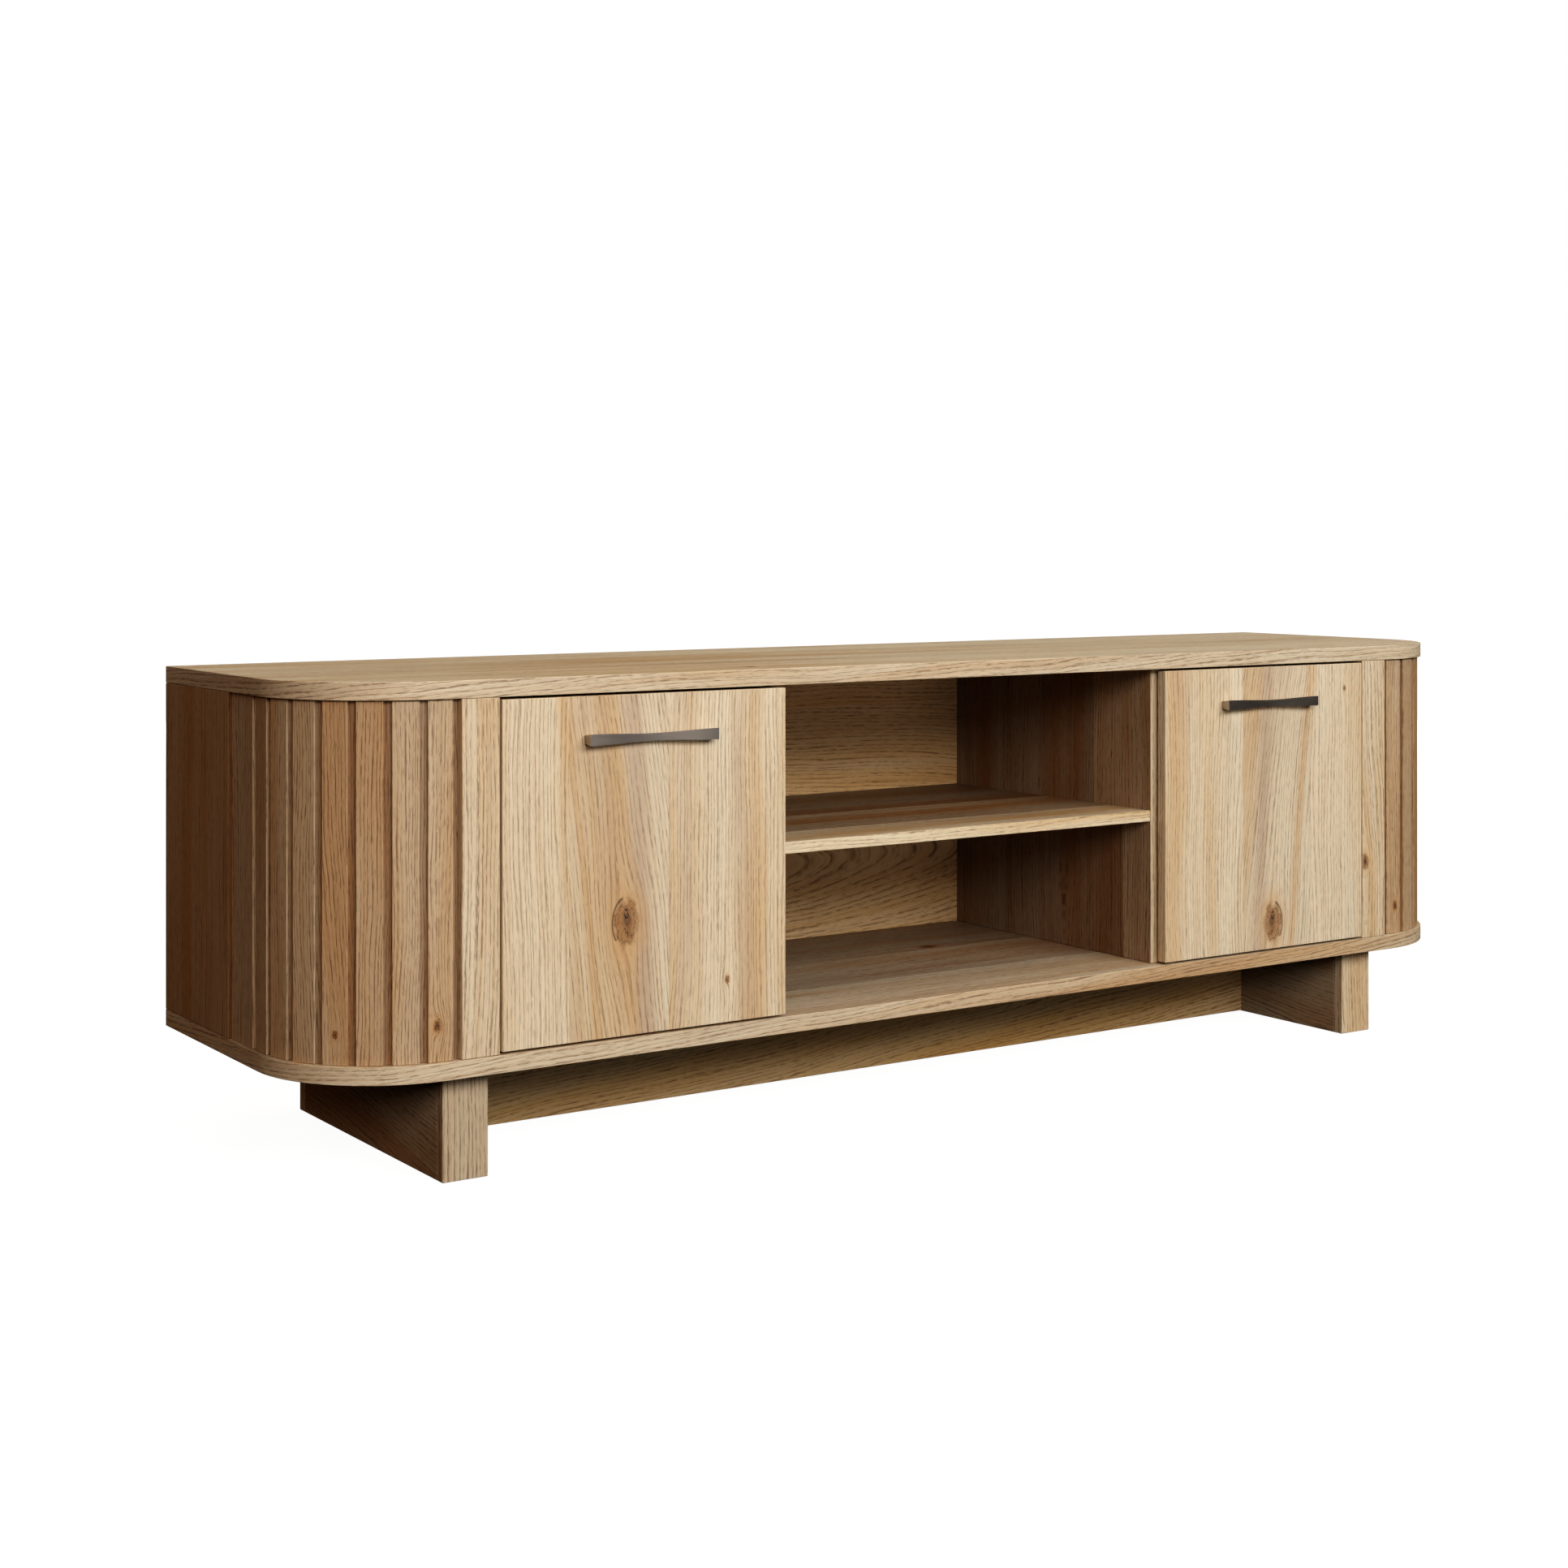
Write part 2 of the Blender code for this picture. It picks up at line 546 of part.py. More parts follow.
def make_arm(name, side, z):
    """Cranked hinge arm beside its plate, forked at the nose."""
    foot = DOOR_OUTER_X - STILE_INNER_X + PLATE_THICK + 2 * FIT
    top = foot + ARM_RISE
    plan = ((foot, ARM_END_DEEP), (top, ARM_END_DEEP), (top, ARM_SHOULDER_DEEP),
            *ARM_NOSE, (foot, ARM_FOOT_DEEP))
    outline = [hinge_point(side, *point) for point in plan]
    arm = prism(name, outline, z - ARM_HALF_HEIGHT, z + ARM_HALF_HEIGHT,
                metal(f"{name}_steel"))
    nose = hinge_point(side, NOSE_IN, NOSE_DEEP)
    slot = cylinder(name + "_slot", (*nose, z), FORK_RADIUS, 2 * (LINK_HALF_HEIGHT + FIT), "Z",
                    target=cutters)
    add_boolean(arm, as_cutter(slot))
    bore = cylinder(name + "_bore", (*nose, z), PIN_RADIUS + FIT, 4 * ARM_HALF_HEIGHT, "Z",
                    target=cutters)
    add_boolean(arm, as_cutter(bore))


def make_link(name, side, z, pivot):
    """Link from the arm's nose into the cup, with the nose pin through its knuckle."""
    nose = Vector(hinge_point(side, NOSE_IN, NOSE_DEEP))
    tip = Vector(hinge_point(side, LINK_TIP_IN, LINK_TIP_DEEP))
    along = (tip - nose).normalized()
    across = LINK_HALF_THICKNESS * Vector((-along.y, along.x))
    outline = [nose + across, tip + across, tip - across, nose - across]
    height = 2 * LINK_HALF_HEIGHT
    link = prism(name, outline, z - height / 2, z + height / 2, metal(f"{name}_steel"),
                 parent=pivot)
    rounds = ((nose, KNUCKLE_RADIUS, height, "knuckle"), (tip, LINK_TIP_RADIUS, height, "tip"),
              (nose, PIN_RADIUS, 2 * ARM_HALF_HEIGHT, "pin"))
    for point, radius, length, word in rounds:
        shape = cylinder(f"{name}_{word}", (*point, z), radius, length, "Z",
                         parent=pivot, target=cutters)
        add_boolean(link, as_cutter(shape), "UNION")


def make_door_set(side_name, side):
    door_pivot = make_pivot(f"{side_name}_door_pivot", side, PIVOT_IN, PIVOT_DEEP)
    link_pivot = make_pivot(f"{side_name}_link_pivot", side, NOSE_IN, NOSE_DEEP)
    make_door(side_name, side, door_pivot)
    make_handle(side_name, side, door_pivot)
    for place, z in zip(("lower", "upper"), hinge_heights()):
        make_cup(f"{side_name}_{place}_hinge_cup", side, z, door_pivot)
        make_plate(f"{side_name}_{place}_hinge_plate", side, z)
        make_arm(f"{side_name}_{place}_hinge_arm", side, z)
        make_link(f"{side_name}_{place}_hinge_link", side, z, link_pivot)


make_slabs()
make_back_and_shelf()
make_rail()
for each_name, each_side in SIDES:
    make_uprights(each_name, each_side)
    make_fluted_corner(each_name, each_side)
    make_leg(each_name, each_side)
    make_door_set(each_name, each_side)
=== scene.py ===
"""Looks of the media cabinet: oak decor boards, nickel handles, steel hinges, studio."""
from collections import namedtuple
from math import cos, pi, radians, sin

import bpy
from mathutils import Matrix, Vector


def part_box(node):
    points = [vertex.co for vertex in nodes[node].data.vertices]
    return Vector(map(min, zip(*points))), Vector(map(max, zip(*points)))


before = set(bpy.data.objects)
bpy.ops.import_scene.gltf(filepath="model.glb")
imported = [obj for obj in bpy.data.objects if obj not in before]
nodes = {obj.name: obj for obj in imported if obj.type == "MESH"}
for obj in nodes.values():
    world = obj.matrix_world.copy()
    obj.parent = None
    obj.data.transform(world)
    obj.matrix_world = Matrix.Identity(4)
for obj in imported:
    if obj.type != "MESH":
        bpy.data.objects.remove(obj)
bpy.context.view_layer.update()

# ---- measures -------------------------------------------------------------------------------
# Read from the frame.
SLAB_LOW, SLAB_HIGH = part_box("top_panel")
FRONT_Y, HALF_WIDTH = SLAB_LOW.y, SLAB_HIGH.x
DOOR_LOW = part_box("left_door")[0]
SHELF_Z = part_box("centre_shelf")[0].z

# The same numbers as in the part's own source, in metres.
CORNER_RADIUS = 0.171        # plan radius of the top and bottom panels
FLUTE_RADIUS = 0.1661        # slat faces of the fluted corners
GROOVE_PITCH = 0.0424        # along the slat faces
GROOVE_START = -0.0228       # first groove, ahead of the point where the bend starts
GROOVE_SHARE = 0.123         # half a groove's width, as a share of the pitch


# ---- material nodes as arithmetic -----------------------------------------------------------
BUMP_STRENGTH = 0.5
# the Mix node's factor and colours among its inputs, and its colour among its outputs
MIX_FACTOR, MIX_A, MIX_B, MIX_RESULT = 0, 6, 7, 2


class Field:
    """A number that varies over a surface; arithmetic on it adds Math nodes."""

    def __init__(self, graph, socket):
        self.graph, self.socket = graph, socket

    def __add__(self, other):
        return self.graph.math("ADD", self, other)

    def __sub__(self, other):
        return self.graph.math("SUBTRACT", self, other)

    def __rsub__(self, other):
        return self.graph.math("SUBTRACT", other, self)

    def __mul__(self, other):
        return self.graph.math("MULTIPLY", self, other)

    def __truediv__(self, other):
        return self.graph.math("DIVIDE", self, other)

    def __pow__(self, power):
        return self.graph.math("POWER", self, power)

    def __gt__(self, other):
        return self.graph.math("GREATER_THAN", self, other)

    __radd__ = __add__
    __rmul__ = __mul__

    def abs(self):
        return self.graph.math("ABSOLUTE", self, 0.0)

    def floor(self):
        return self.graph.math("FLOOR", self, 0.0)

    def fraction(self):
        return self.graph.math("FRACT", self, 0.0)

    def pick(self, low, high):
        """low where this mask is 0, high where it is 1."""
        return self * (high - low) + low

    def step(self, low, high):
        """Smooth step: 0 at low, 1 at high."""
        node = self.graph.nodes.new("ShaderNodeMapRange")
        node.interpolation_type = "SMOOTHSTEP"
        self.graph.put(self, node.inputs["Value"])
        node.inputs["From Min"].default_value = low
        node.inputs["From Max"].default_value = high
        return Field(self.graph, node.outputs["Result"])

    def band(self, middle, half_width):
        """1 at middle, falling smoothly to 0 half_width away from it."""
        return (self - middle).abs().step(half_width, 0.0)


class Graph:
    """One material's node tree."""

    def __init__(self, name):
        self.material = bpy.data.materials.new(name)
        self.material.use_nodes = True
        self.nodes = self.material.node_tree.nodes
        self.links = self.material.node_tree.links
        self.shader = self.nodes["Principled BSDF"]

    def put(self, value, socket):
        """Set a socket from a field, another socket, a number or a colour."""
        value = getattr(value, "socket", value)
        if isinstance(value, bpy.types.NodeSocket):
            self.links.new(value, socket)
        elif socket.type == "RGBA":
            socket.default_value = (*value, 1.0)
        else:
            socket.default_value = value

    def math(self, operation, a, b):
        node = self.nodes.new("ShaderNodeMath")
        node.operation = operation
        self.put(a, node.inputs[0])
        self.put(b, node.inputs[1])
        return Field(self, node.outputs[0])

    def noise(self, x, y, z=0.0, detail=2.0, roughness=0.5):
        """Noise at a point already scaled to the noise's own units; middle is 0.5."""
        place = self.nodes.new("ShaderNodeCombineXYZ")
        for value, socket in zip((x, y, z), place.inputs):
            self.put(value, socket)
        node = self.nodes.new("ShaderNodeTexNoise")
        self.links.new(place.outputs[0], node.inputs["Vector"])
        node.inputs["Scale"].default_value = 1.0
        node.inputs["Detail"].default_value = detail
        node.inputs["Roughness"].default_value = roughness
        return Field(self, node.outputs["Fac"])

    def mix(self, factor, a, b):
        node = self.nodes.new("ShaderNodeMix")
        node.data_type = "RGBA"
        for value, index in ((factor, MIX_FACTOR), (a, MIX_A), (b, MIX_B)):
            self.put(value, node.inputs[index])
        return node.outputs[MIX_RESULT]

    def position(self):
        """Row-frame position and the size of each normal component, on the rest shape."""
        coordinate = self.nodes.new("ShaderNodeTexCoord")
        found = []
        for output in ("Object", "Normal"):
            split = self.nodes.new("ShaderNodeSeparateXYZ")
            self.links.new(coordinate.outputs[output], split.inputs[0])
            found.append([Field(self, axis) for axis in split.outputs])
        return found[0], [axis.abs() for axis in found[1]]

    def finish(self, colour, roughness, height, depth):
        """Connect the shader; depth is what a height of 1 stands for, in metres."""
        bump = self.nodes.new("ShaderNodeBump")
        bump.inputs["Strength"].default_value = BUMP_STRENGTH
        bump.inputs["Distance"].default_value = depth
        self.put(height, bump.inputs["Height"])
        self.put(colour, self.shader.inputs["Base Color"])
        self.put(roughness, self.shader.inputs["Roughness"])
        self.put(bump.outputs[0], self.shader.inputs["Normal"])
        return self.material


# ---- oak decor ------------------------------------------------------------------------------
OAK_PALE = (0.730, 0.640, 0.475)
OAK_BODY = (0.650, 0.505, 0.325)
OAK_HONEY = (0.590, 0.380, 0.195)
OAK_GREY = (0.480, 0.370, 0.285)
OAK_LINE = (0.380, 0.215, 0.105)
OAK_PORE = (0.130, 0.068, 0.034)
KNOT_RIM = (0.300, 0.150, 0.062)
KNOT_CORE = (0.085, 0.050, 0.032)
CRACK = (0.022, 0.016, 0.013)

EARLY_SHADE = 0.20           # how far each kind of line darkens the board
SOFT_SHADE = 0.18
FINE_SHADE = 0.16
SPECK_SHADE = 0.30
PORE_SHADE = 0.60
PORE_DEPTH = 0.0004          # metres
OAK_GLOSS = 0.35

KNOT_STRETCH = 1.6           # a knot's length along the grain over its width

# One strip of the print: where it starts across the board, how much paler it is than the
# board, and how far its lines drift across per metre along.
Plank = namedtuple("Plank", "start tone lean", defaults=(0.0, 0.0))
FIRST = -9.0                 # start of a board's first strip, well outside the board
# bark is the side that the dark bark line curves round, 1 or -1 across the board.
Knot = namedtuple("Knot", "along across radius bark", defaults=(1,))
# drift is across per metre along; the colour fades out half_width from the middle.
Streak = namedtuple("Streak", "colour strength across drift half_width")


def wash(colour, strength, across=0.0):
    """A streak so wide that it tints the whole board."""
    return Streak(colour, strength, across, 0.0, 3.0)


def add_knot(g, colour, along, across, knot):
    """Elliptical knot: darker rim, ringed core, cracks and a bark line on one side."""
    knot_along, knot_across, radius, bark = knot
    da, dw = (along - knot_along) / (KNOT_STRETCH * radius), (across - knot_across) / radius
    ragged = g.noise(da * 1.7, dw * 1.7, radius * 900, detail=4.0, roughness=0.6) - 0.5
    far = (da * da + dw * dw) ** 0.5 + ragged * 1.3
    colour = g.mix(far.step(2.4, 0.8) * 0.60, colour, OAK_HONEY)
    colour = g.mix(far.step(1.30, 0.60) * 0.75, colour, KNOT_RIM)
    inner_rings = g.noise(far * 11.0, radius * 500, 0.0, detail=2.0).step(0.48, 0.62)
    colour = g.mix(inner_rings * far.step(1.35, 0.9) * 0.60, colour, KNOT_CORE)
    colour = g.mix(far.step(0.60, 0.1) * 0.60, colour, KNOT_CORE)
    veins = g.noise(da * 1.6, dw * 1.6, radius * 77, detail=2.0).band(0.5, 0.045)
    colour = g.mix(veins * far.step(0.90, 0.45), colour, CRACK)
    bark_line = (da * da + dw * dw).band(1.25, 0.22) * (dw * bark > 0.25) * (da > -0.75)
    return g.mix(bark_line * 0.75, colour, CRACK)


def oak(name, place, seed, planks=(Plank(FIRST),), knots=(), streaks=(), heart=None,
        slope=0.05, tone=0.0, open_pores=1.0, rings=165.0, slat_lean=0.0, rich=0.0,
        mottle=1.0):
    """Oak decor on one board.

    place(graph) gives four fields or numbers: along and across the grain in metres, the
    slat, and how much paler or darker each point is: on the fluted corners a painted
    highlight on the slats' edges, painted shade in the grooves and each slat's own tone.
    heart: (along, across) of the cathedral figure, or None for straight grain; slope is
    how fast its arches narrow. rings: growth rings per metre across.
    tone and rich: added to the board's brightness and to its saturation.
    open_pores: strength of the dark pores. mottle: strength of honey and grey patches.
    slat_lean: how far the grain may lean on a slat, across per metre along.
    """
    g = Graph(name)
    along, across, slat, tone_and_painted_light = place(g)

    # each strip shifts the pattern by its own amount and has its own tone and lean
    own = slat * 3.7 + seed * 7.13
    shade = tone_and_painted_light + (1.0 + tone + planks[0].tone)
    lean = planks[0].lean
    if slat_lean:
        lean = (g.noise(slat * 7.7, seed, 0.0) - 0.5) * slat_lean + lean
    for index, (before, plank) in enumerate(zip(planks, planks[1:]), 1):
        past = across > plank.start
        own = past * (1.9 + 0.37 * index) + own
        shade = past * (plank.tone - before.tone) + shade
        lean = past * (plank.lean - before.lean) + lean

    # the grain wanders slowly and flows round the knots
    wander = g.noise(along * 1.5, across * 3.5, own) - 0.5
    ripple = g.noise(along * 11.0, across * 26.0, own) - 0.5
    flow = wander * 0.055 + across - along * lean
    flow = ripple * 0.0050 + flow
    for knot in knots:
        da = (along - knot.along) / (4.2 * knot.radius)
        dw = (across - knot.across) / (2.0 * knot.radius)
        far = da * da + dw * dw
        middle = knot.across - lean * knot.along
        flow = (flow - middle) * (far / (far + 0.45)) + middle

    # growth rings: long nested arches round the heart, or straight lines
    side = flow
    if heart is not None:
        heart_along, heart_across = heart
        depth = (along - heart_along) * slope
        side = flow - heart_across
        side = (depth * depth + side * side) ** 0.5
    uneven = g.noise(side * 42.0, along * 0.8, own, detail=1.0) * 2.6
    jitter = g.noise(side * 230.0, along * 5.0, own, detail=1.0) * 1.1
    ring = side * rings + uneven + jitter
    number, part = ring.floor(), ring.fraction()
    early = part.step(0.70, 0.05)
    soft_lines = g.noise(side * 210.0, along * 2.2, own).step(0.44, 0.68)
    fine_lines = g.noise(side * 700.0, along * 5.0, own).step(0.46, 0.66)

    # open pores: a row of thin dashes starts each ring, shorter specks fill it
    dash = g.noise(along * 58.0, side * 620.0, number * 0.73 + own, detail=1.0)
    rows = part.band(0.16, 0.19)
    strong = g.noise(side * 9.0, along * 1.7, own + 2.9).step(0.36, 0.60)
    pores = (dash + strong * 0.08).step(0.48, 0.60) * rows
    crumb = g.noise(along * 75.0, side * 1000.0, own, detail=1.0)
    specks = (early * 0.05 + crumb).step(0.57, 0.67)

    # pale, honey and grey streaks along the grain
    streak = g.noise(along * 0.9, flow * 16.0, own, detail=3.0, roughness=0.6)
    grey = g.noise(along * 1.3, flow * 24.0, own + 5.3, detail=3.0, roughness=0.6)
    colour = g.mix(streak.step(0.38, 0.60), OAK_BODY, OAK_PALE)
    colour = g.mix(streak.step(0.44, 0.30) * (0.55 * mottle), colour, OAK_HONEY)
    colour = g.mix(grey.step(0.55, 0.70) * (0.35 * mottle), colour, OAK_GREY)
    for streak_colour, strength, middle, drift, half_width in streaks:
        wavy = (wander * 0.03 + across) - along * drift
        colour = g.mix(wavy.band(middle, half_width) * strength, colour, streak_colour)
    colour = g.mix(early * EARLY_SHADE, colour, OAK_LINE)
    colour = g.mix(soft_lines * SOFT_SHADE, colour, OAK_HONEY)
    colour = g.mix(fine_lines * FINE_SHADE, colour, OAK_LINE)
    colour = g.mix(specks * (SPECK_SHADE * open_pores), colour, OAK_PORE)
    colour = g.mix(pores * (PORE_SHADE * open_pores), colour, OAK_PORE)
    for knot in knots:
        colour = add_knot(g, colour, along, across, knot)

    # darker boards are a little redder and more saturated; where the darkness is painted
    # shade, this redder colour is painted bounce light in that shade
    value = g.nodes.new("ShaderNodeHueSaturation")
    g.put(shade, value.inputs["Value"])
    g.put((1.0 - shade) * 0.55 + (1.0 + rich), value.inputs["Saturation"])
    g.put(g.math("MINIMUM", shade - 1.0, 0.0) * 0.035 + 0.5, value.inputs["Hue"])
    g.put(colour, value.inputs["Color"])
    g.shader.inputs["Specular IOR Level"].default_value = OAK_GLOSS
    height = 1.0 - pores - specks * 0.4 - fine_lines * 0.25
    rough = pores * 0.15 + (streak * 0.12 + 0.44)
    return g.finish(value.outputs[0], rough, height, PORE_DEPTH)


def board_place(grain):
    """Grain along one axis on every face of a board, and along its banded ends."""
    axis = "XYZ".index(grain)
    first, second = [i for i in range(3) if i != axis]

    def place(g):
        position, normal = g.position()
        across = (normal[first] > normal[second]).pick(position[first], position[second])
        end_face = normal[axis] > 0.7
        along = end_face.pick(position[axis], position[first])
        return along, end_face.pick(across, position[second]), 0.0, 0.0

    return place


BAND_ACROSS = 2.0            # the edge band's print, set apart from the face's
BAND = 1.0                   # start of its strip
BAND_DRIFT = 0.05            # across per metre along


def slab_place(g):
    """Top and bottom panels: grain along X, and along the edge band all round."""
    (x, y, z), normal = g.position()
    on_face = normal[2] > 0.6
    band_run = g.math("SIGN", x, 0.0) * (y - FRONT_Y) + x
    band_across = z - band_run * BAND_DRIFT + BAND_ACROSS
    return on_face.pick(band_run, x), on_face.pick(band_across, y), 0.0, 0.0


GROOVE_SHADE = -0.26
GROOVE_SHADE_DEPTHS = (-0.0010, -0.0040)    # where the painted shade starts, and is full
EDGE_PAINTED_HIGHLIGHT, EDGE_WIDTH = 0.06, 0.030        # painted highlight on the slats' rounded edges; its width is a share of the pitch
SLAT_SHADE = 0.16                           # between the palest and the darkest slat


def flute_place(sign):
    """Fluted corner: upright grain, counted by slat round the bend."""
    centre = Vector((sign * (HALF_WIDTH - CORNER_RADIUS), FRONT_Y + CORNER_RADIUS))

    def place(g):
        (x, y, z), _ = g.position()
        out, back = (x - centre.x) * sign, y - centre.y
        angle = g.math("ARCTAN2", -1.0 * back, out)
        round_bend = angle * FLUTE_RADIUS
        straight_side = -1.0 * back
        straight_front = -1.0 * out + FLUTE_RADIUS * pi / 2
        run = (back > 0.0).pick(round_bend, straight_side)
        run = (out > 0.0).pick(straight_front, run)
        sunk = (out * out + back * back) ** 0.5 - FLUTE_RADIUS
        cell = (run - GROOVE_START) / GROOVE_PITCH
        slat, from_groove = cell.floor(), cell.fraction()
        # painted shade: the deeper a point lies in a groove, the darker it is
        groove = sunk.step(*GROOVE_SHADE_DEPTHS) * GROOVE_SHADE
        # painted highlight: the slats' rounded edges are made paler
        edge = (from_groove - 0.5).abs().band(0.5 - GROOVE_SHARE, EDGE_WIDTH) * EDGE_PAINTED_HIGHLIGHT
        tint = g.noise(slat * 5.3, 4.4, 0.0) * SLAT_SHADE - SLAT_SHADE / 2
        # last: each slat's own tone, painted shade in the grooves and a painted highlight on
        # the edges
        return z, run + sunk, slat, groove + edge + tint

    return place


PRINT_SHIFT = 0.064          # print below the shelf, further forward than above it


def divider_place(g):
    """Upright grain; below the shelf it is another stretch of the print."""
    z, across, _, tone_and_painted_light = board_place("Z")(g)
    below = 1.0 - (z > SHELF_Z)
    return z, across + below * PRINT_SHIFT, below * 2.0, tone_and_painted_light


def mirrored(place, sign):
    """The same print; with sign -1 its across direction is turned round."""

    def placed(g):
        along, across, slat, tone_and_painted_light = place(g)
        return along, across * sign, slat, tone_and_painted_light

    return placed


def assign(node_name, material):
    slots = nodes[node_name].data.materials
    slots.clear()
    slots.append(material)


def door_print(shift, drop):
    """The doors' print: three strips, one large knot and two small ones.

    Measured on the left door from its outer edge; shift and drop move the print.
    """
    edge, foot = DOOR_LOW.x + shift, DOOR_LOW.z - drop
    return {
        "open_pores": 0.78,
        "planks": (Plank(FIRST), Plank(edge + 0.0905, -0.07, -0.12),
                   Plank(edge + 0.2320, 0.0, 0.02)),
        "knots": (Knot(foot + 0.140, edge + 0.1705, 0.0175, -1),
                  Knot(foot + 0.0544, edge + 0.3186, 0.0030),
                  Knot(foot + 0.4860, edge + 0.0170, 0.0025)),
        "streaks": (Streak(OAK_PALE, 0.75, edge + 0.040, 0.0, 0.075),
                    Streak(OAK_HONEY, 0.60, edge + 0.1455, -0.10, 0.014),
                    Streak(OAK_GREY, 0.62, edge + 0.205, -0.045, 0.024)),
    }


# Each board's print. The order sets each board's seed, so it stays as it is. Where a strip is
# much darker than its board, that darkness is painted shade, in part over a darker print.
upright, lying, deep = board_place("Z"), board_place("X"), board_place("Y")
prints = {
    "top_panel": (slab_place, {
        "planks": (Plank(FIRST), Plank(-0.09, -0.06, 0.01), Plank(0.10, -0.01),
                   Plank(BAND, -0.13)),
        "knots": (Knot(-0.35, -0.185, 0.006),)}),
    # painted shade: the bay floor is darkened, most at the back, partly over a darker print
    "bottom_panel": (slab_place, {
        "planks": (Plank(FIRST, -0.16), Plank(-0.10, -0.40), Plank(0.06, -0.55, 0.01),
                   Plank(BAND, -0.16)),
        "knots": (Knot(0.14, 0.075, 0.009),)}),
    # painted light: the back panel's strips are made paler, standing in for light reaching
    # deep into the bay
    "back_panel": (lying, {
        "planks": (Plank(FIRST, 0.10), Plank(0.372, 0.10), Plank(0.511, 0.14, 0.02)),
        "knots": (Knot(-0.21, 0.478, 0.007),),
        "streaks": (wash(OAK_HONEY, 0.55, 0.37),),
        "heart": (-0.35, 0.27), "slope": 0.12, "rich": 0.20}),
    # painted shade: the shelf top darkens towards the back, partly over a darker print
    "centre_shelf": (lying, {
        "planks": (Plank(FIRST, -0.12), Plank(-0.13, -0.50), Plank(0.02, -0.70, 0.01),
                   Plank(0.30)),
        "rich": 0.12}),
    "base_rail": (lying, {
        "planks": (Plank(FIRST, 0.02, 0.10),),
        "streaks": (wash(OAK_HONEY, 0.50, 0.08),), "rich": 0.25}),
    "left_door": (upright, door_print(0.0, 0.0)),
    "right_door": (mirrored(upright, -1), door_print(0.021, 0.101)),
    "left_cupboard_shelf": (lying, {}),
    "right_cupboard_shelf": (lying, {}),
    "left_front_stile": (upright, {"tone": -0.04}),
    "right_front_stile": (upright, {
        "knots": (Knot(0.272, 0.748, 0.0075, -1),), "heart": (0.272, 0.748),
        "tone": -0.01}),
}
for sign, side in ((-1, "left"), (1, "right")):
    prints[f"{side}_fluted_corner"] = (flute_place(sign), {
        "knots": (Knot(0.197, 0.2477, 0.0050), Knot(0.190, 0.1256, 0.0030, -1)),
        "streaks": (wash(OAK_HONEY, 0.30),),
        "tone": -0.25, "open_pores": 1.05, "rings": 235.0, "slat_lean": 0.16,
        "mottle": 0.45})
    # painted shade: the dividers' strips are darkened, most towards the back, partly over a
    # darker print
    prints[f"{side}_divider"] = (divider_place, {
        "planks": (Plank(FIRST), Plank(-0.30, -0.46), Plank(-0.094, -0.64),
                   Plank(0.3215)),
        "heart": (0.45, 0.03)})
    # painted shade: the dark first strip is the panel's rounded front edge in the joint beside
    # the fluted corner, darkened over its highlight; the rest of the panel is darkened as a
    # side turned from the light
    prints[f"{side}_side_panel"] = (mirrored(upright, -sign), {
        "planks": (Plank(FIRST, -0.75), Plank(-0.50, -0.30)),
        "streaks": (wash(OAK_HONEY, 0.40),), "rich": 0.12})
    prints[f"{side}_hinge_partition"] = (upright, {})
    # painted shade: the left front cap is darker than the right one
    prints[f"{side}_leg_front_cap"] = (upright, {"tone": sign * 0.14 - 0.14})
    prints[f"{side}_leg_back_cap"] = (upright, {})
    # painted shade: the legs' side boards are darkened, as under the cabinet
    for word in ("leg_inner_board", "leg_outer_board"):
        prints[f"{side}_{word}"] = (deep, {"planks": (Plank(FIRST, -0.36, 0.16),)})

SEED_STEP = 1.37
for number, (node_name, (place, look)) in enumerate(prints.items(), 1):
    assign(node_name, oak(node_name + "_oak", place, number * SEED_STEP, **look))


# ---- metal ----------------------------------------------------------------------------------
BRUSH_LINES = 2600.0         # brush marks per metre across them
CLOUDS = 45.0                # soft patches per metre
BRUSH_DEPTH = 0.00003        # metres
DARKEST = 0.80               # darkest marks, as a share of the metal's colour


def brushed(name, colour, roughness, along_x):
    """Metal brushed along X; along_x is how many marks start per metre."""
    g = Graph(name)
    (x, y, z), _ = g.position()
    brush = g.noise(x * along_x, y * BRUSH_LINES, z * BRUSH_LINES, detail=3.0)
    cloud = g.noise(x * CLOUDS, y * CLOUDS, z * CLOUDS)
    dark = tuple(DARKEST * c for c in colour)
    g.shader.inputs["Metallic"].default_value = 1.0
    tint = g.mix(brush * 0.6 + cloud * 0.4, dark, colour)
    return g.finish(tint, (brush - 0.5) * 0.25 + roughness, brush, BRUSH_DEPTH)


nickel = brushed("brushed_nickel", (0.460, 0.405, 0.360), 0.34, along_x=60.0)
steel = brushed("plated_steel", (0.66, 0.66, 0.67), 0.28, along_x=900.0)

WELD_DISTANCE = 0.00001
SHARP_ANGLE = radians(50)


def smooth_edges(obj):
    """Rounded edges shade smoothly into faces that stay flat."""
    obj.data.shade_smooth()
    weld = obj.modifiers.new("weld", "WELD")
    weld.merge_threshold = WELD_DISTANCE
    split = obj.modifiers.new("split", "EDGE_SPLIT")
    split.split_angle = SHARP_ANGLE
    weighted = obj.modifiers.new("normals", "WEIGHTED_NORMAL")
    weighted.keep_sharp = True


for node_name, obj in nodes.items():
    if node_name.endswith("_handle"):
        assign(node_name, nickel)
    elif node_name not in prints:
        assign(node_name, steel)
    smooth_edges(obj)

